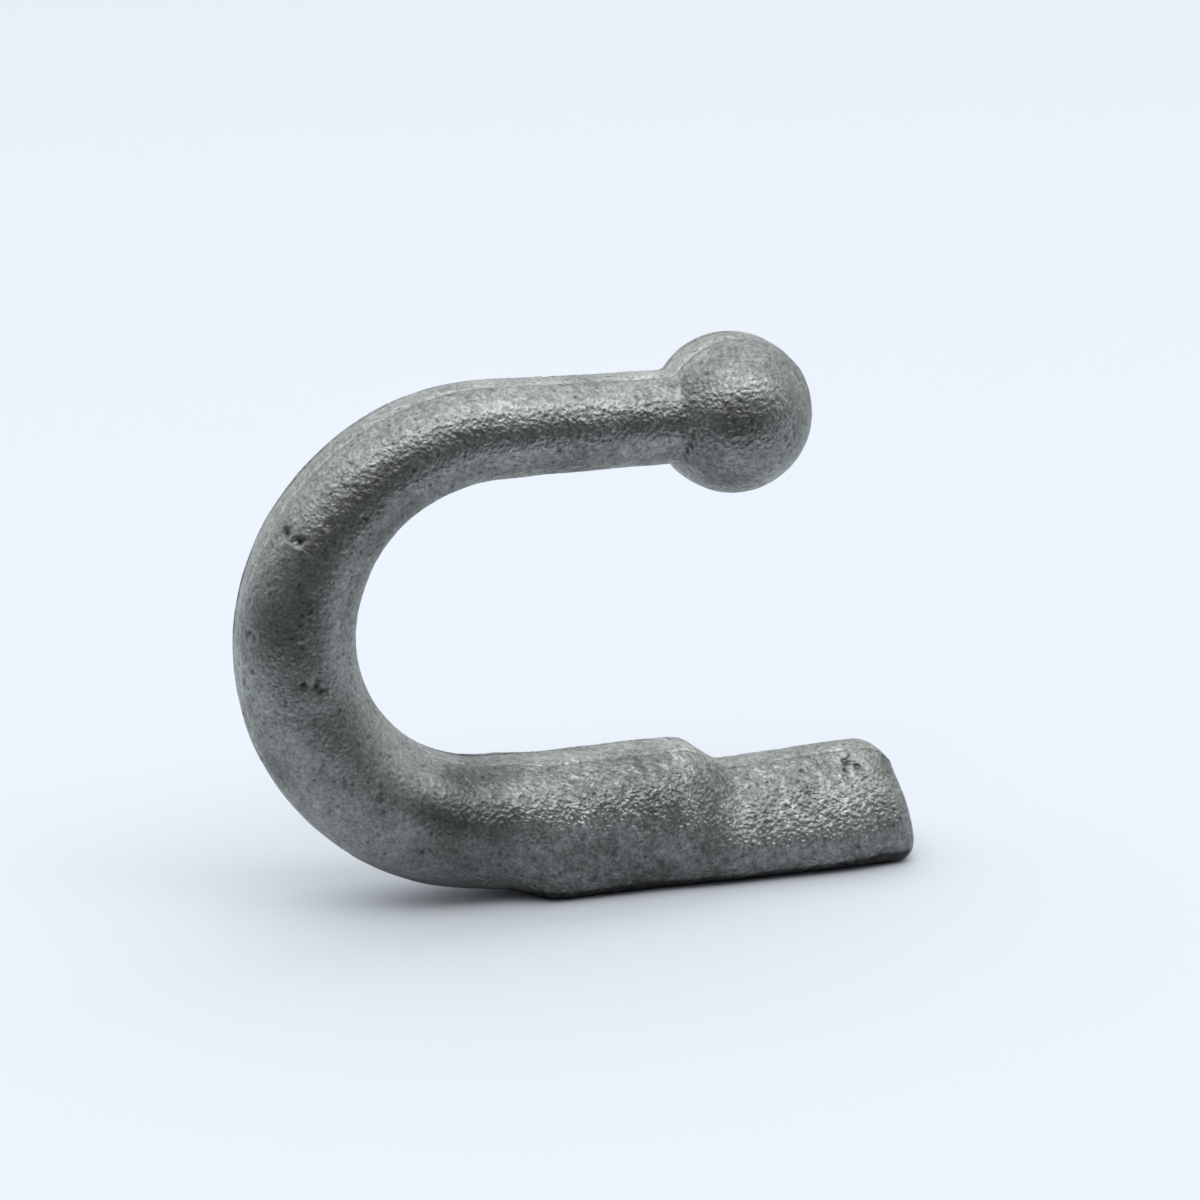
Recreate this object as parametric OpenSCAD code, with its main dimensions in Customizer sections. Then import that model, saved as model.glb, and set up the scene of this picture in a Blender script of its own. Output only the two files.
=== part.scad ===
// Weld-on rope hook: a drop-forged steel bar bent into a U. The upper arm ends in a ball.
// The lower arm is a shank with a raised boss and a lower tab, and its straight outer edge is
// the face that is welded down. The whole hook is one forging.
//
// The hook lies in the XZ plane, which is also the parting plane of its dies. The origin is the
// centre of the weld face. +X runs along the shank to the tab's end and +Z away from the weld.

/* [Bend] */
// Radius of the bend, to the middle of the bar
bend_r = 25.2; // [20:0.1:32]
// Diameter of the bar where the bend runs into the shank
root_d = 16.8; // [13:0.1:21]

/* [Arm and ball] */
// Diameter of the arm at the ball, from where the bar thickens steadily to the end of the bend
arm_d = 12; // [9:0.1:14.5]
// Length of the straight arm, from the bend to the ball's centre
arm_l = 31; // [25:0.5:45]
// Diameter of the ball
ball_d = 20.2; // [16.5:0.1:25]
// Fillet between the arm and the ball
neck_r = 1.5; // [0.5:0.1:2.5]

/* [Shank] */
// Length of the shank along its widest line, from the bend to the tab's end
shank_l = 55; // [46:0.5:70]
// How far the weld face stands out past the underside of the bend
weld_proud = 1.1; // [0.5:0.1:3]
// Distance along the shank from the bend to the start of the weld face
foot_x = 4; // [3:0.5:8]
// Width of the weld face
foot_w = 10.6; // [6:0.1:13]
// Height of the boss over the weld face, at its higher end
boss_h = 17.5; // [14.5:0.1:21]
// Rise of the boss's top to that end
boss_rise = 0.5; // [0:0.1:1.5]
// Distance along the shank over which the bar turns into the boss
boss_run = 8; // [6:0.5:12]
// Thickness of the boss
boss_w = 17.8; // [14.5:0.1:21]
// Height of the boss's widest line over the weld face
boss_girth = 8.8; // [7:0.1:11]
// Distance along the shank from the bend to the end of the boss
boss_l = 24.2; // [19:0.1:28]
// Length of the step down from the boss to the tab
step_l = 6.5; // [4:0.5:9]
// Length up to the end of the step over which the boss's sides turn into the tab's
side_l = 14; // [10:0.5:18]
// Height of the tab over the weld face, where it starts
tab_h = 14.3; // [11.5:0.1:17]
// Rise of the tab's top from there to its end
tab_rise = 1; // [0:0.1:2]
// Thickness of the tab
tab_w = 17.6; // [14:0.1:21]
// Height of the tab's widest line over the weld face
tab_girth = 5; // [4.2:0.1:7]

/* [Tab end] */
// Lean of the tab's end face, in degrees
end_lean = 17; // [0:1:25]
// Rounding of the tab's end, measured along the shank
end_r = 4.5; // [3:0.1:6]
// Drop of the upper corner's rounding
end_top = 3.8; // [3:0.1:6]
// Rise of the lower corner's rounding
end_foot = 6.8; // [3:0.1:8]

/* [Trimmed edge] */
// Width of the land that trimming the flash leaves round the outline
land_w = 3.6; // [2.4:0.1:4.4]
// Width of that land on top of the boss
boss_land_w = 5.2; // [4:0.1:6.4]

/* [Hidden] */

// Steps of the mesh: along the arm, round the bend, round the ball, and in a quarter of a section
arm_n = 4;
bend_n = 36;
ball_n = 14;
quarter_n = 9;
// Roundness of a section's outer and inner half: 2 is an ellipse, more is squarer, less more pointed
bar_form = [2, 2];
boss_form = [3, 2];
tab_form = [3, 1.4];
// Roundness of the tab's end, in the same measure
end_form = 2.5;
// Lengths over which the underside comes down to the weld face and settles there
dip_l = 8;
settle_l = 4;
// Lengths along the shank before the tab's end over which it starts to lean and to narrow
lean_l = 14;
narrow_l = 10;
// Share of its thickness that the tab keeps where its end starts to round
narrow_k = 0.92;
// Share of the shank's thickness that the weld face may take
foot_k = 0.75;
// Share of the tab's height that its rounded corners may take
corner_k = 0.8;
// Thinnest cap left at the ball's far side, in degrees round the ball
cap_a = 4;

arm_r = arm_d / 2;
root_r = root_d / 2;
ball_r = ball_d / 2;
land = land_w / 2;
weld_z = root_r + weld_proud;

function ease(t) = let (c = max(0, min(1, t))) c * c * (3 - 2 * c);
function blend(a, b, t) = a + (b - a) * ease(t);
function power(v, p) = v <= 0 ? 0 : pow(v, p);

// Depth, at half width y, of a section of half thickness w and roundness f, as a share of its height
function share(y, w, f) = power(1 - power(min(y / w, 1), f), 1 / f);

// A station is a section across the bar: [x, z, lean, heights, half thickness, forms, half lands].
// Heights, forms and lands are pairs, for the half towards the outer and the inner edge of the U.
// The lean turns the section in the XZ plane from the outward direction +Z, towards -X.

// Arm, from the neck to the bend
neck_run = sqrt(pow(ball_r + neck_r, 2) - pow(arm_r + neck_r, 2));
neck_a = acos(neck_run / (ball_r + neck_r));
straight_l = arm_l - neck_run;
swell_l = straight_l + bend_r * PI;
// Radius of the bar at a distance x past the neck, along its middle line
function bar_radius(x) = blend(arm_r, root_r, x / swell_l);
// Height of a round bar at its trimmed land
function bar_height(r) = sqrt(r * r - land * land);
function bar_at(x, z, lean, r, extra = 0) =
    [x, z, lean, [bar_height(r) + extra, bar_height(r)], r, bar_form, [land, land]];

// Ball: a sphere whose outline is trimmed back to the land
trim_r = bar_height(ball_r);
function ball_at(a) = bar_at(arm_l - trim_r * cos(a), bend_r, 0, norm([trim_r * sin(a), land]));

ball_stations = [for (i = [0 : ball_n]) ball_at(180 - cap_a - i * (180 - cap_a - neck_a) / ball_n)];
neck_stations = [for (k = [0.67, 0.33, 0])
    let (a = k * (90 - neck_a))
    bar_at(straight_l + neck_r * sin(a), bend_r, 0, arm_r + neck_r * (1 - cos(a)))];
arm_stations = [for (i = [1 : arm_n - 1])
    let (x = straight_l * i / arm_n)
    bar_at(straight_l - x, bend_r, 0, bar_radius(x))];

// How far the underside has come down towards the weld face, at a distance x past the bend
root_h = bar_height(root_r);
function dip(x) = (weld_z - root_h) * power(min(1, (x - foot_x + dip_l) / dip_l), 2);

// Bend, from the arm round to the root
bend_stations = [for (i = [0 : bend_n])
    let (a = i * 180 / bend_n, run = bend_r * a * PI / 180)
    bar_at(-bend_r * sin(a), bend_r * cos(a), a, bar_radius(straight_l + run), dip(run - bend_r * PI))];

// Shank: what a section measures at a distance x from the bend. Heights are over the weld face.
function shank(x, bar, boss, tab, run = side_l) =
    blend(blend(bar, boss, x / boss_run), tab, (x - boss_l - step_l + run) / run);
function girth(x) = shank(x, weld_z, boss_girth, tab_girth);
function top(x) = shank(x, root_h + weld_z,
    boss_h - boss_rise * max(0, 1 - x / boss_l),
    tab_h + tab_rise * (x - boss_l - step_l) / (shank_l - boss_l - step_l), step_l);
function narrow(x) = blend(1, narrow_k, (x - shank_l + narrow_l) / (narrow_l - end_r));
function half(x) = shank(x, root_r, boss_w / 2, tab_w / 2 * narrow(x));
function form(x) = shank(x, bar_form, boss_form, tab_form);
function lean(x) = end_lean * ease((x - shank_l + lean_l) / (lean_l - end_r));
// The section runs on below the weld face, so that the cut there comes out foot_w wide
function sunk(x) =
    let (w = half(x), f = form(x)[0])
    girth(x) * (share(land, w, f) / share(min(foot_w / 2, foot_k * w), w, f) - 1);
function settle(x) = let (c = max(0, min(1, (x - foot_x) / settle_l))) c * (2 - c);
function bottom(x) = weld_z - root_h - dip(x) - sunk(x) * settle(x);
function shank_at(x) =
    [x, girth(x) - weld_z - bend_r, 180 + lean(x),
        [girth(x) - bottom(x), top(x) - girth(x)] / cos(lean(x)),
        half(x), form(x), [land, shank(x, land, boss_land_w / 2, land, step_l)]];

// Tab's end: a quarter turn that rounds its corners and draws its sides in to the land
turn_x = shank_l - end_r;
turn = shank_at(turn_x);
corners = [end_foot, end_top] * min(1, corner_k * (turn[3][0] + turn[3][1]) / (end_foot + end_top));
// Way from the widest line to the middle of the end face, up along the lean
end_up = (turn[3][1] - corners[1] - turn[3][0] + corners[0]) / 2;
function end_at(a) =
    let (k = 1 - power(cos(a), 2 / end_form), up = end_up * k)
    [turn_x + end_r * power(sin(a), 2 / end_form) - up * sin(end_lean), turn[1] + up * cos(end_lean),
        turn[2], turn[3] - corners * k + [up, -up],
        turn[4] - (turn[4] - land - 0.1) * k, turn[5], [land, land]];

// Places along the shank that need a section: closer together where its form changes
function spread(from, to, n) = [for (i = [0 : n - 1]) from + (to - from) * i / n];
shank_places = concat(
    spread(foot_x / 4, foot_x, 3),
    spread(foot_x, foot_x + settle_l, 3),
    spread(foot_x + settle_l, boss_l, 7),
    spread(boss_l, boss_l + step_l, 7),
    spread(boss_l + step_l, turn_x, 8));
shank_stations = [for (x = shank_places) shank_at(x)];
end_stations = [for (a = [0 : 10 : 90]) end_at(a)];

stations = concat(ball_stations, neck_stations, arm_stations, bend_stations, shank_stations,
    end_stations);

// Centre of the weld face, measured from the bend
foot_end = turn_x + tab_girth * tan(end_lean)
    + end_r * share(1 - sunk(turn_x) / cos(end_lean) / corners[0], 1, end_form);
foot_mid = (foot_x + foot_end) / 2;

// Quarter of a section from its land to its side, as [across, height]
function quarter(height, half, form, edge) =
    let (from = asin(power(edge / half, form / 2)), full = height / share(edge, half, form))
    [for (i = [0 : quarter_n])
        let (a = from + (90 - from) * i / quarter_n)
        [half * power(sin(a), 2 / form), i == quarter_n ? 0 : full * power(cos(a), 2 / form)]];

// Whole section: down one side from the outer land to the inner land, and up the other side
function section(s) =
    let (outer = quarter(s[3][0], s[4], s[5][0], s[6][0]),
        inner = quarter(s[3][1], s[4], s[5][1], s[6][1]),
        side = concat(outer, [for (i = [quarter_n - 1 : -1 : 0]) [inner[i][0], -inner[i][1]]]))
    concat(side, [for (i = [len(side) - 1 : -1 : 0]) [-side[i][0], side[i][1]]]);

// Section's points in the part's frame
function ring(s) = [for (p = section(s))
    [s[0] - p[1] * sin(s[2]) - foot_mid, p[0], s[1] + p[1] * cos(s[2]) + bend_r + weld_z]];

// Closed skin over a list of rings with as many points each
module skin(rings) {
    n = len(rings[0]);
    last = len(rings) - 1;
    polyhedron(
        points = [for (r = rings) each r],
        faces = concat(
            [[for (k = [0 : n - 1]) k]],
            [for (i = [0 : last - 1], k = [0 : n - 1])
                let (a = i * n + k, b = i * n + (k + 1) % n)
                each [[a, a + n, b + n], [a, b + n, b]]],
            [[for (k = [n - 1 : -1 : 0]) last * n + k]]));
}

module rope_hook() {
    size = 4 * (bend_r + shank_l + arm_l);
    color("#83878a")
        difference() {
            skin([for (s = stations) ring(s)]);
            translate([-size / 2, -size / 2, -size]) cube(size);
        }
}

rope_hook();
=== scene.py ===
import bpy
from collections import namedtuple
from math import acos, cos, pi, radians, sin, sqrt, tan
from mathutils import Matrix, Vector


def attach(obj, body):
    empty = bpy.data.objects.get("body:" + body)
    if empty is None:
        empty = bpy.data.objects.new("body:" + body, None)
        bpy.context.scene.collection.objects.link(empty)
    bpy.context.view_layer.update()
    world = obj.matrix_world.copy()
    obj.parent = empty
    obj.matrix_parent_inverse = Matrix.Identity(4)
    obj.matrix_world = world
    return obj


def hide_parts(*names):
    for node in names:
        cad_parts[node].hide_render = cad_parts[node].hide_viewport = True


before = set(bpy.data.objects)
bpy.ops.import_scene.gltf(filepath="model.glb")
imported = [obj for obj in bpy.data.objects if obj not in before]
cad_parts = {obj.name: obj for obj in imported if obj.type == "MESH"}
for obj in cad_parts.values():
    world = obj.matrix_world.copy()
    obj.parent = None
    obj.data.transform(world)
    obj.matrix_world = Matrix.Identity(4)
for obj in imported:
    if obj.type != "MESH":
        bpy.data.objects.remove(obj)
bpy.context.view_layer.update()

# --- Rope hook: the bar's path ---------------------------------------------------------------
# The hook is one drop forging: a round steel bar bent into a U, with a ball on the end of its
# arm and a flat shank that is welded down along its underside. It was closed between two dies
# that met in the plane of the U, then trimmed of its flash, which left a narrow land round it.

# Sizes in millimetres and degrees, as in the solid model
mm = 0.001
bend_r, root_d = 25.2, 16.8
arm_d, arm_l, ball_d, neck_r = 12, 31, 20.2, 1.5
shank_l, weld_proud, foot_x, foot_w = 55, 1.1, 4, 10.6
boss_h, boss_rise, boss_run, boss_w, boss_girth, boss_l = 17.5, 0.5, 8, 17.8, 8.8, 24.2
step_l, side_l = 6.5, 14
tab_h, tab_rise, tab_w, tab_girth = 14.3, 1, 17.6, 5
end_lean, end_r, end_top, end_foot = 17, 4.5, 3.8, 6.8
land_w, boss_land_w = 3.6, 5.2

# How square a section is: its half away from the inside of the U, then its half towards it. At 2
# it is round, above that it is squarer and below that more pointed.
bar_form, boss_form, tab_form, end_form = (2, 2), (3, 2), (3, 1.4), 2.5

# Lengths over which the bar dips to the weld face, the weld face reaches its full width, the
# shank takes up the lean of its end, and the tab narrows. Then how far the tab narrows, and how
# much of the half thickness the weld face may take.
dip_l, settle_l, lean_l, narrow_l = 8, 4, 14, 10
narrow_k, foot_k = 0.92, 0.75

arm_r, root_r, ball_r, land = arm_d / 2, root_d / 2, ball_d / 2, land_w / 2
weld_z = root_r + weld_proud

# A section across the bar. Its heights, forms and half lands come in twos: for its half away
# from the inside of the U, then for its half towards it. Scale is how rough its skin is left.
Station = namedtuple("Station", "x z lean heights half forms lands scale")


def ease(t):
    c = max(0, min(1, t))
    return c * c * (3 - 2 * c)


def blend(a, b, t):
    if isinstance(a, tuple):
        return tuple(blend(p, q, t) for p, q in zip(a, b))
    return a + (b - a) * ease(t)


def share(y, w, f):
    """What is left of the height of a section of form f and half width w, at y from its middle."""
    return (1 - min(y / w, 1) ** f) ** (1 / f)


def below(girth, w, f):
    """How far a section runs on below the weld face, so that the face comes out foot_w wide."""
    return girth * (share(land, w, f) / share(min(foot_w / 2, foot_k * w), w, f) - 1)


def bar_height(r):
    return sqrt(max(0, r * r - land * land))


def bar_at(x, z, lean, r, extra=0, scale=0.55):
    h = bar_height(r)
    return Station(x, z, lean, (h + extra, h), r, bar_form, (land, land), scale)


neck_run = sqrt((ball_r + neck_r) ** 2 - (arm_r + neck_r) ** 2)
neck_a = acos(neck_run / (ball_r + neck_r))
straight_l = arm_l - neck_run
swell_l = straight_l + bend_r * pi
trim_r, root_h = bar_height(ball_r), bar_height(root_r)


def ball_at(a):
    r = sqrt((trim_r * sin(a)) ** 2 + land * land)
    return bar_at(arm_l - trim_r * cos(a), bend_r, 0, r, scale=0.5)


def neck_at(a):
    return bar_at(straight_l + neck_r * sin(a), bend_r, 0, arm_r + neck_r * (1 - cos(a)))


def arm_at(x):
    return bar_at(straight_l - x, bend_r, 0, blend(arm_r, root_r, x / swell_l))


def dip(x):
    return (weld_z - root_h) * max(0, min(1, (x - foot_x + dip_l) / dip_l)) ** 2


def bend_at(a):
    run = bend_r * a
    r = blend(arm_r, root_r, (straight_l + run) / swell_l)
    # The skin is smoothest halfway down the bend and rough again at the shank's root
    scale = blend(0.55, 0.25, a / (0.45 * pi)) + blend(0, 0.35, (a - 0.8 * pi) / (0.2 * pi))
    return bar_at(-bend_r * sin(a), bend_r * cos(a), a * 180 / pi, r, dip(run - bend_r * pi), scale)


def shank(x, bar, boss, tab, run=side_l):
    return blend(blend(bar, boss, x / boss_run), tab, (x - boss_l - step_l + run) / run)


def shank_at(x):
    girth = shank(x, weld_z, boss_girth, tab_girth)
    top = shank(x, root_h + weld_z, boss_h - boss_rise * max(0, 1 - x / boss_l),
                tab_h + tab_rise * (x - boss_l - step_l) / (shank_l - boss_l - step_l), step_l)
    narrow = blend(1, narrow_k, (x - shank_l + narrow_l) / (narrow_l - end_r))
    half = shank(x, root_r, boss_w / 2, tab_w / 2 * narrow)
    forms = shank(x, bar_form, boss_form, tab_form)
    lands = (land, shank(x, land, boss_land_w / 2, land, step_l))
    lean = end_lean * ease((x - shank_l + lean_l) / (lean_l - end_r))
    settle = max(0, min(1, (x - foot_x) / settle_l))
    bottom = weld_z - root_h - dip(x) - below(girth, half, forms[0]) * settle * (2 - settle)
    tilt = cos(radians(lean))
    return Station(x, girth - weld_z - bend_r, 180 + lean,
                   ((girth - bottom) / tilt, (top - girth) / tilt),
                   half, forms, lands, shank(x, 0.6, 1, 0.8))


turn_x = shank_l - end_r
turn = shank_at(turn_x)
end_up = (turn.heights[1] - end_top - turn.heights[0] + end_foot) / 2
end_tilt = radians(end_lean)
end_half = land + 0.1


def end_at(a, cap=1):
    """A section of the tab's rounded end, at angle a round it. Cap shrinks it to close the end."""
    k, out = 1 - max(0, cos(a)) ** (2 / end_form), sin(a) ** (2 / end_form)
    up = end_up * k
    return Station(
        turn_x + end_r * out - up * sin(end_tilt), turn.z + up * cos(end_tilt), turn.lean,
        ((turn.heights[0] - end_foot * k + up) * cap, (turn.heights[1] - end_top * k - up) * cap),
        turn.half - (turn.half - end_half) * k, blend((2, 2), turn.forms, cap), (land, land), 0.6)


def spread(make, start, stop, n):
    return [make(start + (stop - start) * i / n) for i in range(n)]


# From the ball's tip along the arm, round the bend and down the shank to the tab's end
cap_n = 14
stations = (
    spread(ball_at, pi, neck_a, 84) + spread(neck_at, pi / 2 - neck_a, 0, 5)
    + spread(arm_at, 0, straight_l, 72) + spread(bend_at, 0, pi, 222)
    + spread(shank_at, 0.01, turn_x, 158) + spread(end_at, 0, pi / 2, 22)
    + [end_at(pi / 2, 1 - i / cap_n) for i in range(cap_n + 1)])

# The origin is the middle of the weld face, which runs from foot_x to where the end rounds up
end_below = below(tab_girth, turn.half, turn.forms[0]) / cos(end_tilt)
foot_end = turn_x + tab_girth * tan(end_tilt) + end_r * share(1 - end_below / end_foot, 1, end_form)
foot_mid = (foot_x + foot_end) / 2

spine_mesh = bpy.data.meshes.new("hook_spine")
spine_mesh.from_pydata([((s.x - foot_mid) * mm, 0, (s.z + bend_r + weld_z) * mm) for s in stations],
                       [(i, i + 1) for i in range(len(stations) - 1)], [])
for name, values in (
        ("size", [(s.heights[0] * mm, s.heights[1] * mm, s.half * mm) for s in stations]),
        ("form", [(*s.forms, radians(s.lean)) for s in stations]),
        ("edge", [(s.lands[0] * mm, s.lands[1] * mm, s.scale) for s in stations])):
    spine_mesh.attributes.new(name, "FLOAT_VECTOR", "POINT").data.foreach_set(
        "vector", [v for row in values for v in row])
hook = bpy.data.objects.new("rope_hook_forging", spine_mesh)
bpy.context.scene.collection.objects.link(hook)

# --- Rope hook: the section ------------------------------------------------------------------
# Half of the bar lay in each die. A section runs from the middle of the outer land down one
# side to the inner land and back up the other, with its points closer together near a land.

# Each point is a place across the land, from 0 to 1 at its edge and minus on the second side, a
# turn down the side, from 0 at the land to 1, and 1 in the outer half or 0 in the inner half
land_n, side_n, crowding = 5, 33, 1.25
half_side = [(i / land_n, 0) for i in range(land_n + 1)]
half_side += [(1, (i / side_n) ** crowding) for i in range(1, side_n + 1)]
side = [(s, t, 1) for s, t in half_side] + [(s, t, 0) for s, t in reversed(half_side[:-1])]
loop = side + [(-s, t, o) for s, t, o in reversed(side)][1:]

section_mesh = bpy.data.meshes.new("hook_section")
section_mesh.from_pydata(loop, [(i, i + 1) for i in range(len(loop) - 1)], [])
section = bpy.data.objects.new("hook_section", section_mesh)
bpy.context.scene.collection.objects.link(section)

# --- Rope hook: the larger pits --------------------------------------------------------------
# Scale that was pressed into the hot steel fell out under the shot and left pits. The larger
# ones are listed one by one on the front: x, y and z of a point on the skin, and radius, in mm.
large_pits = (
    # High on the outside of the bend
    (-56.1, -4.2, 50.1, 0.75), (-54.8, -5.6, 49.3, 0.65),
    # Halfway down the bend
    (-55.2, -7.4, 32.0, 0.5), (-53.5, -7.6, 31.6, 0.6), (-53.1, -7.6, 31.0, 0.55),
    (-53.4, -7.6, 32.5, 0.4),
    # Low on the bend
    (-46.0, -8.0, 18.5, 0.45), (-46.0, -8.1, 17.4, 0.45), (-45.7, -8.2, 15.2, 0.5),
    (-50.5, -8.0, 19.6, 0.35),
    # In the tab's upper corner, and a few lower down
    (16.9, -3.5, 13.6, 0.65), (18.1, -4.0, 13.0, 0.6), (16.5, -4.2, 12.8, 0.5),
    (16.2, -5.2, 12.0, 0.4), (10.5, -3.6, 13.2, 0.4), (9.4, -3.6, 13.2, 0.35),
    (22.0, -7.2, 7.7, 0.35), (16.6, -8.7, 3.7, 0.4),
    # A scar down the ball's neck
    (-5.5, -6.8, 59.0, 0.35), (-5.7, -6.3, 57.8, 0.45), (-5.9, -5.7, 56.8, 0.5),
    (-6.0, -5.2, 56.0, 0.4))
pit_mesh = bpy.data.meshes.new("hook_pits")
pit_mesh.from_pydata([(x * mm, y * mm, z * mm) for x, y, z, _ in large_pits], [], [])
pit_mesh.attributes.new("pit_radius", "FLOAT", "POINT").data.foreach_set(
    "value", [r * mm for *_, r in large_pits])
pits = bpy.data.objects.new("hook_pits", pit_mesh)
bpy.context.scene.collection.objects.link(pits)


# --- Rope hook: the steel --------------------------------------------------------------------
# Bare medium-carbon steel, drop-forged and shot-blasted: a dull grey metal with a fine sparkle,
# because the shot leaves facets a few tenths of a millimetre across. Dark oxide stays in its
# pits and hollows. Painted shade darkens it low down by the weld face and at the shank's root,
# a few other patches are darker, and the burr on the land's edge carries a painted highlight.
def linear(code):
    """Linear colour of an sRGB hex code."""
    c = [int(code[i:i + 2], 16) / 255 for i in (1, 3, 5)]
    return (*[v / 12.92 if v <= 0.04045 else ((v + 0.055) / 1.055) ** 2.4 for v in c], 1)


def add(tree, kind, links=(), **settings):
    """Adds a node with its settings, and links or sets its inputs: in order, or a dict by name."""
    node = tree.nodes.new(kind)
    for name, value in settings.items():
        setattr(node, name, value)
    for key, value in (links.items() if isinstance(links, dict) else enumerate(links)):
        socket = node.inputs[key]
        if isinstance(value, bpy.types.Node):
            value = value.outputs[0]
        if isinstance(value, bpy.types.NodeSocket):
            tree.links.new(value, socket)
        else:
            socket.default_value = value
    return node


math, noise, cells = "ShaderNodeMath", "ShaderNodeTexNoise", "ShaderNodeTexVoronoi"
remap, mix, vector_math = "ShaderNodeMapRange", "ShaderNodeMix", "ShaderNodeVectorMath"

steel = bpy.data.materials.new("shot_blasted_forged_steel")
steel.use_nodes = True
skin = steel.node_tree
skin.nodes.clear()
place = add(skin, "ShaderNodeTexCoord").outputs["Object"]

# Mottling where scale came away unevenly, 9 mm and 0.9 mm across
cloud = add(skin, noise, {"Vector": place, "Scale": 1 / (9 * mm), "Detail": 3, "Roughness": 0.6})
mottle = add(skin, noise, {
    "Vector": place, "Scale": 1 / (0.9 * mm), "Detail": 3, "Roughness": 0.75})
mottling = add(skin, math, (cloud, 1.5, mottle), operation="MULTIPLY_ADD")
tone = add(skin, remap, (mottling, 0.95, 1.55, 0, 1))

# The shot has brightened the crests of the scale and left dark oxide in its hollows. The burr
# along the land's edge is brightened with them, which is a painted highlight.
relief_at = add(skin, "ShaderNodeAttribute", attribute_name="relief").outputs["Fac"]
crest_and_burr_highlight = add(skin, remap, (relief_at, 0.36, 0.62, 0.68, 1.15))

# Specks of oxide that the shot left behind, one in each 1.1 mm cell, 0.1 to 0.5 mm across
speck_cell = add(skin, cells, {"Vector": place, "Scale": 1 / (1.1 * mm)})
lot = add(skin, "ShaderNodeSeparateColor", (speck_cell.outputs["Color"],))
speck_r = add(skin, remap, (lot, 0.2, 0.9, 0.05, 0.25))
speck = add(skin, math, (speck_cell.outputs["Distance"], speck_r), operation="DIVIDE")
speck = add(skin, remap, (speck, 0.4, 1.5, 0.5, 1))

# Flecks where single facets were struck flat and bright or left dark, 0.4 mm across
fleck = add(skin, noise, {"Vector": place, "Scale": 1 / (0.4 * mm), "Detail": 1})
fleck = add(skin, remap, (fleck, 0.3, 0.7, 0.7, 1.3))

# The trimmed land is cleaner than the sides
land_at = add(skin, "ShaderNodeAttribute", attribute_name="land").outputs["Fac"]
clean = add(skin, remap, (land_at, 0, 1, 1, 1.25))

# A colour Mix takes its colours at inputs 6 and 7 and gives its result at output 2
colour = add(skin, mix, {
    "Factor": tone, 6: linear("#80837f"), 7: linear("#acafac")}, data_type="RGBA").outputs[2]
for shade, strength in ((crest_and_burr_highlight, 1), (speck, 1), (fleck, 0.8), (clean, 1)):
    colour = add(skin, mix, {"Factor": strength, 6: colour, 7: shade},
                 data_type="RGBA", blend_type="MULTIPLY").outputs[2]

# Dark oxide in the pits
pit_at = add(skin, "ShaderNodeAttribute", attribute_name="pit").outputs["Fac"]
covers = [(pit_at, "#2c2c2b")]

# Soft darker patches are painted on the front: at the shank's root and on top of it, low on the
# bend, and on the boss. The one at the root is painted shade where the bar curves in between the
# bend and the boss. Each has a middle and a reach in mm and a strength. The cloud, which comes to
# 4.5 mm on average, frays its edge.
for x, y, z, reach, strength in ((-34, -7, 12, 12, 0.5), (-32, -2, 19, 9, 0.4),
                                 (-51, -5, 20, 17, 0.15), (-13, -8, 9, 15, 0.22)):
    off = add(skin, vector_math, (place, (x * mm, y * mm, z * mm)), operation="DISTANCE")
    off = add(skin, math, (cloud, 9 * mm, off.outputs["Value"]), operation="MULTIPLY_ADD")
    shade_and_dark_patch = add(skin, remap, (off, (4.5 + reach * 0.3) * mm, (4.5 + reach) * mm, strength, 0),
                 interpolation_type="SMOOTHSTEP")
    covers.append((shade_and_dark_patch, "#343635"))

# Painted shade: a near-black band along the bottom beside the weld face stands in for the shade
# under the shank, and a weaker darkening, also painted shade, fades out upwards over 11 mm. The
# band rises a little towards the tab's end, has a ragged edge and spares the end face.
along, _, height_at = add(skin, "ShaderNodeSeparateXYZ", (place,)).outputs
rise = add(skin, remap, (along, 6 * mm, 26 * mm, 0, 0.8 * mm))
up_by = add(skin, math, (height_at, rise), operation="SUBTRACT")
painted_shade_low = add(skin, remap, (up_by, 0, 11 * mm, 0.45, 0))
ragged = add(skin, math, (mottling, 1 * mm, up_by), operation="MULTIPLY_ADD")
painted_shade_band = add(skin, remap, (ragged, 2.4 * mm, 3.8 * mm, 0.9, 0), interpolation_type="SMOOTHSTEP")
spared = add(skin, remap, (along, 24 * mm, 26 * mm, 1, 0.3))
painted_shade_band = add(skin, math, (painted_shade_band, spared), operation="MULTIPLY")
painted_shade_band = add(skin, math, (painted_shade_band, painted_shade_low), operation="MAXIMUM")
# The painted shade goes on in near black
covers.append((painted_shade_band, "#131313"))
for cover, code in covers:
    colour = add(skin, mix, {"Factor": cover, 6: colour, 7: linear(code)},
                 data_type="RGBA").outputs[2]

# Facets of the blasted skin, about 0.3 mm across but drawn twice that size so that they show
facet = add(skin, noise, {
    "Vector": place, "Scale": 1 / (0.6 * mm), "Detail": 1, "Roughness": 0.5})
dimple = add(skin, cells, {"Vector": place, "Scale": 1 / (0.55 * mm)}).outputs["Distance"]
grit = add(skin, math, (dimple, 0.55, facet), operation="MULTIPLY_ADD")
scale_at = add(skin, "ShaderNodeAttribute", attribute_name="scale").outputs["Fac"]
grit = add(skin, math, (grit, scale_at), operation="MULTIPLY")
bump = add(skin, "ShaderNodeBump", {"Strength": 1, "Distance": 0.25 * mm, "Height": grit})

# The crests are also the smoothest
polish = add(skin, remap, (relief_at, 0.36, 0.66, 0.5, 0.34))
metal = add(skin, "ShaderNodeBsdfPrincipled", {
    "Base Color": colour, "Metallic": 1, "Roughness": polish, "Normal": bump})
add(skin, "ShaderNodeOutputMaterial", {"Surface": metal})

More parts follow.
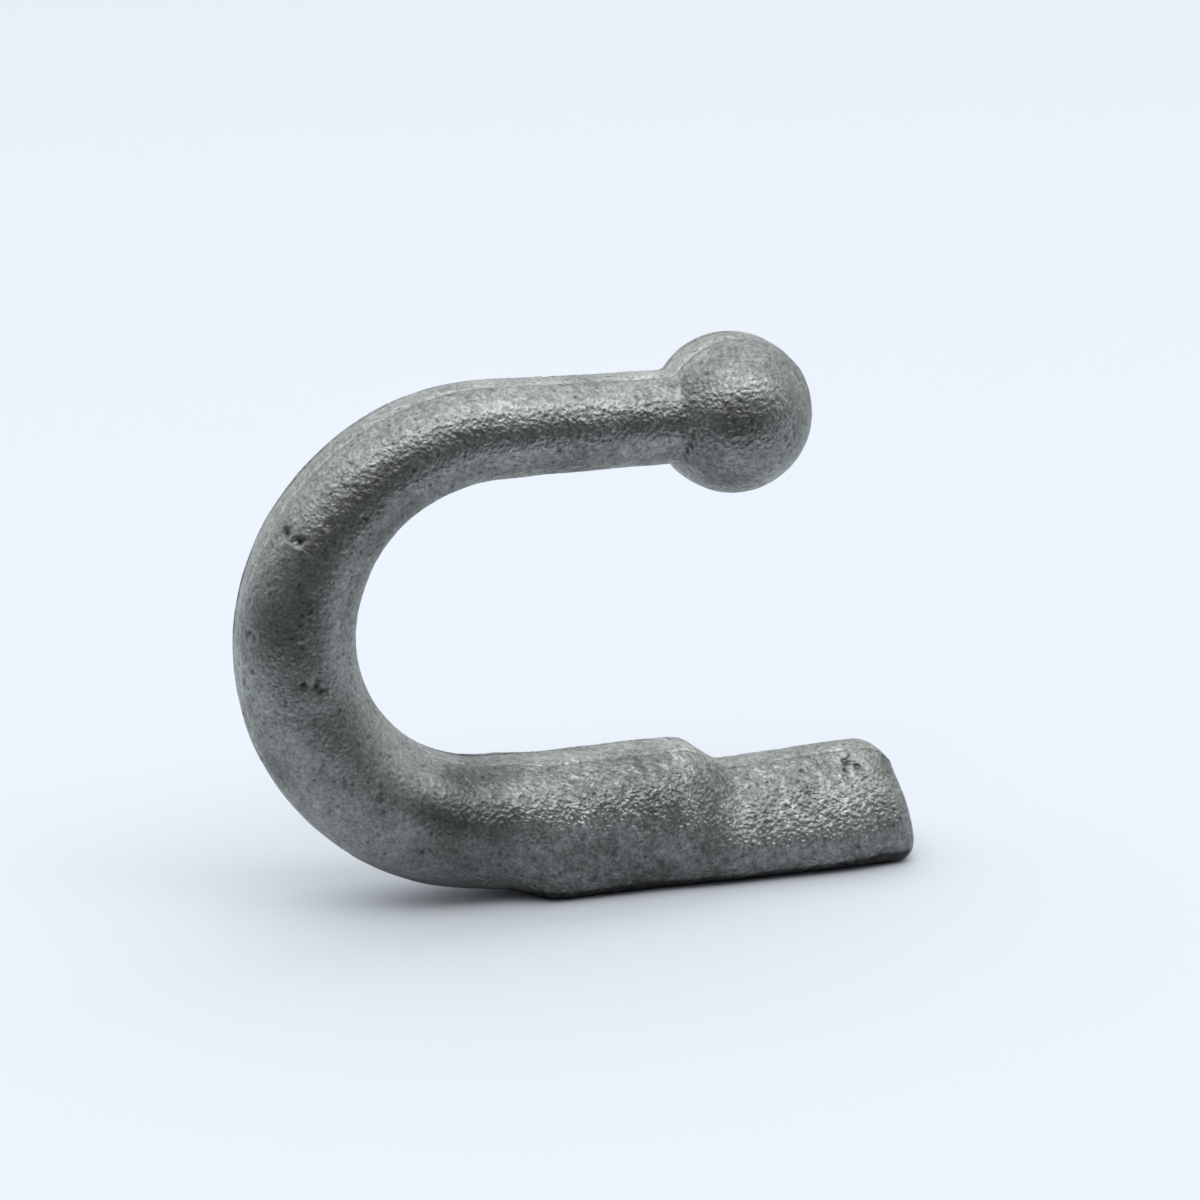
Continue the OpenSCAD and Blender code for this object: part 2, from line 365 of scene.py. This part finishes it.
# --- Rope hook: the sweep --------------------------------------------------------------------
# Geometry Nodes carry the section along the path, which gives the clean forging as it left the
# dies. It is a grid with a row of points for each station and a column for each section point.
forge = bpy.data.node_groups.new("forged_bar", "GeometryNodeTree")
for name, kind in (
        ("Geometry", "Geometry"), ("Section", "Object"), ("Large pits", "Object"),
        ("Crown", "Float"), ("Waves", "Float"), ("Scale", "Float"), ("Crease", "Float"),
        ("Burr", "Float"), ("Pit depth", "Float"), ("Small pits", "Float"),
        ("Smallest pit", "Float"), ("Largest small pit", "Float"), ("Seed", "Float"),
        ("Steel", "Material")):
    forge.interface.new_socket(name, in_out="INPUT", socket_type="NodeSocket" + kind)
forge.interface.new_socket("Geometry", in_out="OUTPUT", socket_type="NodeSocketGeometry")
given = add(forge, "NodeGroupInput").outputs
path = given["Geometry"]
attribute, sample = "GeometryNodeInputNamedAttribute", "GeometryNodeSampleIndex"

template = add(forge, "GeometryNodeObjectInfo", (given["Section"],)).outputs["Geometry"]
station_n = add(forge, "GeometryNodeAttributeDomainSize", (path,), component="MESH")
round_n = add(forge, "GeometryNodeAttributeDomainSize", (template,), component="MESH")
sheet = add(forge, "GeometryNodeMeshGrid", {"Vertices X": station_n, "Vertices Y": round_n})
index = add(forge, "GeometryNodeInputIndex")
ring = add(forge, "FunctionNodeIntegerMath", (index, round_n), operation="DIVIDE_FLOOR")
step = add(forge, "FunctionNodeIntegerMath", (index, round_n), operation="FLOORED_MODULO")
here = add(forge, "GeometryNodeInputPosition")

centre = add(forge, sample, {"Geometry": path, "Value": here, "Index": ring},
             data_type="FLOAT_VECTOR")
looked_up = {}
for name in ("size", "form", "edge"):
    named = add(forge, attribute, (name,), data_type="FLOAT_VECTOR")
    found = add(forge, sample, {"Geometry": path, "Value": named, "Index": ring},
                data_type="FLOAT_VECTOR")
    looked_up[name] = add(forge, "ShaderNodeSeparateXYZ", (found,)).outputs
outer_high, inner_high, half_wide = looked_up["size"]
outer_form, inner_form, lean_at = looked_up["form"]
outer_land, inner_land, rough_at = looked_up["edge"]
turned = add(forge, sample, {"Geometry": template, "Value": here, "Index": step},
             data_type="FLOAT_VECTOR")
across_k, turn_k, outer_k = add(forge, "ShaderNodeSeparateXYZ", (turned,)).outputs

# What this point's half of the section has. A float Mix takes its values at inputs 2 and 3.
high = add(forge, mix, {"Factor": outer_k, 2: inner_high, 3: outer_high})
form = add(forge, mix, {"Factor": outer_k, 2: inner_form, 3: outer_form})
edge = add(forge, mix, {"Factor": outer_k, 2: inner_land, 3: outer_land})
sign = add(forge, remap, (outer_k, 0, 1, -1, 1))

# The side is a superellipse, (y / half_wide) ** form + (z / full) ** form = 1. It is followed by
# an angle that starts at the edge of the land, and full is such that the land comes at high.
inverse = add(forge, math, (2, form), operation="DIVIDE")
edge_k = add(forge, math, (edge, half_wide), operation="DIVIDE")
edge_k = add(forge, math, (edge_k, 1), operation="MINIMUM")
edge_p = add(forge, math, (edge_k, form), operation="POWER")
start = add(forge, math, (edge_p,), operation="SQRT")
start = add(forge, math, (start,), operation="ARCSINE")
left = add(forge, math, (pi / 2, start), operation="SUBTRACT")
angle = add(forge, math, (left, turn_k, start), operation="MULTIPLY_ADD")
sine = add(forge, math, (angle,), operation="SINE")
sine = add(forge, math, (sine, inverse), operation="POWER")
cosine = add(forge, math, (angle,), operation="COSINE")
cosine = add(forge, math, (cosine, 0), operation="MAXIMUM")
cosine = add(forge, math, (cosine, inverse), operation="POWER")
root_form = add(forge, math, (1, form), operation="DIVIDE")
land_k = add(forge, math, (1, edge_p), operation="SUBTRACT")
land_k = add(forge, math, (land_k, root_form), operation="POWER")
land_k = add(forge, math, (land_k, 1e-6), operation="MAXIMUM")
full = add(forge, math, (high, land_k), operation="DIVIDE")
out_by = add(forge, math, (sine, half_wide), operation="MULTIPLY")
across = add(forge, math, (out_by, across_k), operation="MULTIPLY")
height = add(forge, math, (cosine, full), operation="MULTIPLY")

# Distance from the land's edge, minus over the land, kept for the skin. Down to the middle of
# the side it is about 3/4 of the height and the half width together.
back = add(forge, math, (across_k,), operation="ABSOLUTE")
back = add(forge, math, (back, 1), operation="SUBTRACT")
back = add(forge, math, (back, edge), operation="MULTIPLY")
outwards = add(forge, math, (high, half_wide), operation="ADD")
outwards = add(forge, math, (outwards, turn_k), operation="MULTIPLY")
outwards = add(forge, math, (outwards, 0.75), operation="MULTIPLY")
verge = add(forge, math, (back, outwards), operation="ADD")

# A shallow valley along its edge leaves the land slightly crowned. It takes at most a tenth of
# the height, so that both closed ends stay whole.
valley = add(forge, math, (verge,), operation="ABSOLUTE")
valley = add(forge, remap, (valley, 0, 1.1 * mm, 1, 0), interpolation_type="SMOOTHERSTEP")
deepest = add(forge, math, (height, -0.1), operation="MULTIPLY")
crown = add(forge, math, (given["Crown"], -1), operation="MULTIPLY")
crown = add(forge, math, (deepest, crown), operation="MAXIMUM")
height = add(forge, math, (valley, crown, height), operation="MULTIPLY_ADD")
height = add(forge, math, (height, sign), operation="MULTIPLY")

flat = add(forge, "ShaderNodeCombineXYZ", (0, across, height))
turn_by = add(forge, math, (lean_at, -1), operation="MULTIPLY")
leaning = add(forge, "ShaderNodeVectorRotate", {"Vector": flat, "Angle": turn_by},
              rotation_type="Y_AXIS")
point = add(forge, vector_math, (centre, leaning), operation="ADD")
bar = add(forge, "GeometryNodeSetPosition", {"Geometry": sheet, "Position": point})
for name, value in (("verge", verge), ("scale", rough_at)):
    bar = add(forge, "GeometryNodeStoreNamedAttribute",
              {"Geometry": bar, "Name": name, "Value": value}, data_type="FLOAT", domain="POINT")

# The seam and both ends meet exactly, so a very small distance closes them
bar = add(forge, "GeometryNodeMergeByDistance", {"Geometry": bar, "Distance": 0.00002 * mm})
bar = add(forge, "GeometryNodeFlipFaces", (bar,))

# --- Rope hook: the skin ---------------------------------------------------------------------
# The tree then roughens the bar as forging, trimming and blasting did: slow waves from the
# dies, crinkled scale, a crease and a burr along the torn edge of the land, and pits.
verge, scale = [add(forge, attribute, (name,), data_type="FLOAT") for name in ("verge", "scale")]
seed = add(forge, "ShaderNodeCombineXYZ", (given["Seed"], given["Seed"], given["Seed"]))
seeded = add(forge, vector_math, (here, seed), operation="ADD")

# Waves 7 mm long and crinkles 1 mm across, both of them up and down about zero
waves = add(forge, noise, {"Vector": seeded, "Scale": 1 / (7 * mm), "Detail": 1})
waves = add(forge, math, (waves, 0.5), operation="SUBTRACT")
crinkle = add(forge, noise, {
    "Vector": seeded, "Scale": 1 / (1.0 * mm), "Detail": 2.5, "Roughness": 0.6})
crinkle = add(forge, math, (crinkle, 0.5), operation="SUBTRACT")

# The torn edge wanders by up to 0.8 mm, and the land is smoother than the sides
wander = add(forge, noise, {
    "Vector": seeded, "Scale": 1 / (3 * mm), "Detail": 4, "Roughness": 0.65})
wander = add(forge, math, (wander, 0.5), operation="SUBTRACT")
from_edge = add(forge, math, (wander, 1.6 * mm, verge), operation="MULTIPLY_ADD")
on_land = add(forge, remap, (from_edge, -0.1 * mm, 0.35 * mm, 1, 0),
              interpolation_type="SMOOTHSTEP")
rough = add(forge, remap, (on_land, 0, 1, 1, 0.75))
rough = add(forge, math, (rough, scale), operation="MULTIPLY")

# Along the torn edge a crease lies just outside it and a burr just inside. Both are bell-shaped
# across it, middle and width in mm, and come and go in parts of the length given, in mm.
torn = {}
for name, middle, width, part, detail, low, high, least, rising in (
        ("crease", 0.45, 0.3, 8, 2, 0.42, 0.6, 0.1, "SMOOTHSTEP"),
        ("burr", -0.1, 0.22, 5, 3, 0.42, 0.58, 0, "LINEAR")):
    bell = add(forge, math, (from_edge, middle * mm), operation="SUBTRACT")
    bell = add(forge, math, (bell, width * mm), operation="DIVIDE")
    bell = add(forge, math, (bell, bell), operation="MULTIPLY")
    bell = add(forge, math, (bell, -1), operation="MULTIPLY")
    bell = add(forge, math, (bell,), operation="EXPONENT")
    parts = add(forge, noise, {"Vector": seeded, "Scale": 1 / (part * mm), "Detail": detail})
    parts = add(forge, remap, (parts, low, high, least, 1), interpolation_type=rising)
    torn[name] = add(forge, math, (bell, parts), operation="MULTIPLY")

raised = add(forge, math, (crinkle, rough), operation="MULTIPLY")
raised = add(forge, math, (raised, given["Scale"]), operation="MULTIPLY")
raised = add(forge, math, (waves, given["Waves"], raised), operation="MULTIPLY_ADD")
sunk = add(forge, math, (torn["crease"], given["Crease"]), operation="MULTIPLY")
raised = add(forge, math, (raised, sunk), operation="SUBTRACT")
raised = add(forge, math, (torn["burr"], given["Burr"], raised), operation="MULTIPLY_ADD")

# Small pits are scattered among the larger ones, and a Random Value draws each one's radius
# between inputs 2 and 3. Each point of the skin finds the nearest pit, its radius, and how deep
# it lies within it, and the crinkles fray the pit's edge.
attributed = {"data_type": "FLOAT", "domain": "POINT"}
small_pits = add(forge, "GeometryNodeDistributePointsOnFaces", {
    "Mesh": bar, "Density": given["Small pits"], "Seed": 4})
small_r = add(forge, "FunctionNodeRandomValue", {
    2: given["Smallest pit"], 3: given["Largest small pit"], "Seed": 5}, data_type="FLOAT")
small_pits = add(forge, "GeometryNodeStoreNamedAttribute", {
    "Geometry": small_pits, "Name": "pit_radius", "Value": small_r.outputs[1]}, **attributed)
placed = add(forge, "GeometryNodeObjectInfo", (given["Large pits"],)).outputs["Geometry"]
placed = add(forge, "GeometryNodeMeshToPoints", {"Mesh": placed})
all_pits = add(forge, "GeometryNodeJoinGeometry")
for points in (placed, small_pits):
    forge.links.new(points.outputs[0], all_pits.inputs[0])
nearest = add(forge, "GeometryNodeSampleNearest", {
    "Geometry": all_pits, "Sample Position": here}, domain="POINT")
pit_centre = add(forge, sample, {"Geometry": all_pits, "Value": here, "Index": nearest},
                 data_type="FLOAT_VECTOR")
pit_r = add(forge, attribute, ("pit_radius",), data_type="FLOAT")
pit_r = add(forge, sample, {"Geometry": all_pits, "Value": pit_r, "Index": nearest},
            data_type="FLOAT")
away = add(forge, vector_math, (here, pit_centre), operation="DISTANCE").outputs["Value"]
away = add(forge, math, (crinkle, 0.5 * mm, away), operation="MULTIPLY_ADD")
hollow = add(forge, math, (away, pit_r), operation="DIVIDE")
hollow = add(forge, remap, (hollow, 0.3, 1.2, 1, 0), interpolation_type="SMOOTHSTEP")
pit_depth = add(forge, math, (given["Pit depth"], -1), operation="MULTIPLY")
raised = add(forge, math, (hollow, pit_depth, raised), operation="MULTIPLY_ADD")

normal = add(forge, "GeometryNodeInputNormal")
offset = add(forge, vector_math, {0: normal, "Scale": raised}, operation="SCALE")
bar = add(forge, "GeometryNodeSetPosition", {"Geometry": bar, "Offset": offset})

# The underside is ground level: nothing of the skin reaches below the weld face
here_x, here_y, here_z = add(forge, "ShaderNodeSeparateXYZ", (here,)).outputs
here_z = add(forge, math, (here_z, 0), operation="MAXIMUM")
grounded = add(forge, "ShaderNodeCombineXYZ", (here_x, here_y, here_z))
bar = add(forge, "GeometryNodeSetPosition", {"Geometry": bar, "Position": grounded})

# What the steel reads: where the land is, the oxide in the pits and a little in the crease, and
# the relief, which is 0.5 where the skin is level and higher on the crests and the burr. On the
# burr the higher value is a painted highlight, because it brightens the colour there.
oxide = add(forge, math, (torn["crease"], 0.35), operation="MULTIPLY")
oxide = add(forge, math, (hollow, oxide), operation="MAXIMUM")
relief = add(forge, math, (crinkle, rough, 0.5), operation="MULTIPLY_ADD")
relief = add(forge, math, (torn["burr"], 0.25, relief), operation="MULTIPLY_ADD")
for name, value in (("land", on_land), ("pit", oxide), ("relief", relief)):
    bar = add(forge, "GeometryNodeStoreNamedAttribute", {
        "Geometry": bar, "Name": name, "Value": value}, **attributed)
bar = add(forge, "GeometryNodeSetShadeSmooth", (bar,))
bar = add(forge, "GeometryNodeRealizeInstances", (bar,))
bar = add(forge, "GeometryNodeSetMaterial", {"Geometry": bar, "Material": given["Steel"]})
add(forge, "NodeGroupOutput", (bar,))

# Heights and depths of the skin, and how many small pits there are to a square metre
forge_inputs = {
    "Section": section, "Large pits": pits, "Crown": 0.3 * mm, "Waves": 0.3 * mm,
    "Scale": 0.35 * mm, "Crease": 0.14 * mm, "Burr": 0.12 * mm, "Pit depth": 0.3 * mm,
    "Small pits": 16000.0, "Smallest pit": 0.15 * mm, "Largest small pit": 0.42 * mm,
    "Seed": 3.0, "Steel": steel}
sweep = hook.modifiers.new("Forge", "NODES")
sweep.node_group = forge
for item in forge.interface.items_tree:
    if item.in_out == "INPUT" and item.name in forge_inputs:
        sweep[item.identifier] = forge_inputs[item.name]

forged = bpy.data.meshes.new_from_object(
    hook.evaluated_get(bpy.context.evaluated_depsgraph_get()))
hook.modifiers.clear()
hook.data = forged
for helper in (section, pits):
    bpy.data.objects.remove(helper)

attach(hook, "root")
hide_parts("rope_hook")

# --- Floor and backdrop ----------------------------------------------------------------------
# A wide sheet of smooth white card, which the hook stands on. Reflections see it a fifth darker
# than the camera does, and see it turn dark about 100 mm in front, where the lit tent ends.
card = bpy.data.materials.new("white_card")
card.use_nodes = True
board = card.node_tree
spot = add(board, "ShaderNodeTexCoord").outputs["Object"]
front_way = (-0.31, -0.95, 0)
in_front = add(board, vector_math, (spot, front_way), operation="DOT_PRODUCT")
darker = add(board, remap, (in_front.outputs["Value"], 0.085, 0.11, 0.2, 1),
             interpolation_type="SMOOTHSTEP")
seen = add(board, "ShaderNodeLightPath").outputs["Is Camera Ray"]
darker = add(board, math, (darker, seen), operation="SUBTRACT")
tint = add(board, mix, {"Factor": darker, 6: linear("#dae0e6"), 7: linear("#2a2a2a")},
           data_type="RGBA").outputs[2]
paper = board.nodes["Principled BSDF"]
board.links.new(tint, paper.inputs["Base Color"])
paper.inputs["Roughness"].default_value = 0.8
paper.inputs["Specular IOR Level"].default_value = 0.1

floor_half = 8
corners = [(x * floor_half, y * floor_half, 0) for x, y in ((-1, -1), (1, -1), (1, 1), (-1, 1))]
floor_mesh = bpy.data.meshes.new("floor")
floor_mesh.from_pydata(corners, [], [(0, 1, 2, 3)])
floor_mesh.materials.append(card)
floor = bpy.data.objects.new("floor", floor_mesh)
bpy.context.scene.collection.objects.link(floor)

# --- Light and camera ------------------------------------------------------------------------
# A bright panel fills the roof of a light tent, and a lamp nearer the front of the roof makes a
# brighter band. The tent is open at the front, where the room is dark.
lamp_away = 3
for name, across_m, along_m, lean_deg, white_k in (
        ("roof_panel", 6, 6.4, 2, 0.28), ("band", 3.6, 1, 30, 0.2)):
    lamp = bpy.data.lights.new(name, "AREA")
    lamp.shape, lamp.size, lamp.size_y = "RECTANGLE", across_m, along_m
    # Watts that light a small white sheet below it to about this share of full white
    lamp.energy = white_k * pi * pi * (lamp_away ** 2 + (across_m ** 2 + along_m ** 2) / 9)
    softbox = bpy.data.objects.new(name, lamp)
    softbox.location = (0, -lamp_away * sin(radians(lean_deg)), lamp_away * cos(radians(lean_deg)))
    softbox.rotation_euler = (radians(lean_deg), 0, 0)
    bpy.context.scene.collection.objects.link(softbox)

# The tent's walls are brightest above and at the back, and its open front is dark. The camera
# sees pale paper all round instead.
world = bpy.data.worlds.new("light_tent")
world.use_nodes = True
room = world.node_tree
way = add(room, "ShaderNodeTexCoord").outputs["Generated"]
back_and_up = (0.31, 0.95, 1.7)
inside = add(room, vector_math, (way, back_and_up), operation="DOT_PRODUCT").outputs["Value"]
lit = add(room, remap, (inside, 0, 0.8, 0, 1), interpolation_type="SMOOTHSTEP")
wall = add(room, mix, {"Factor": lit, 6: linear("#94979b"), 7: linear("#f8fafe")},
           data_type="RGBA").outputs[2]
covered = add(room, remap, (inside, -0.45, 0.1, 0, 1), interpolation_type="SMOOTHSTEP")
sky = add(room, mix, {"Factor": covered, 6: linear("#1c1c1c"), 7: wall},
          data_type="RGBA").outputs[2]
seen = add(room, "ShaderNodeLightPath").outputs["Is Camera Ray"]
sky = add(room, mix, {"Factor": seen, 6: sky, 7: linear("#e9eff8")}, data_type="RGBA").outputs[2]
room.links.new(sky, room.nodes["Background"].inputs["Color"])
bpy.context.scene.world = world

eye = bpy.data.cameras.new("camera")
eye.sensor_width, eye.lens = 36, 109.9
camera = bpy.data.objects.new("camera", eye)
aim, eye_away = Vector((-15.29, 0, 37.05)) * mm, 457 * mm
turn_a, rise_a = radians(-17.95), radians(15.99)
towards = Vector((sin(turn_a) * cos(rise_a), -cos(turn_a) * cos(rise_a), sin(rise_a)))
camera.location = aim + towards * eye_away
camera.rotation_euler = (-towards).to_track_quat("-Z", "Y").to_euler()
bpy.context.scene.collection.objects.link(camera)
bpy.context.scene.camera = camera
bpy.context.scene.view_settings.view_transform = "Standard"
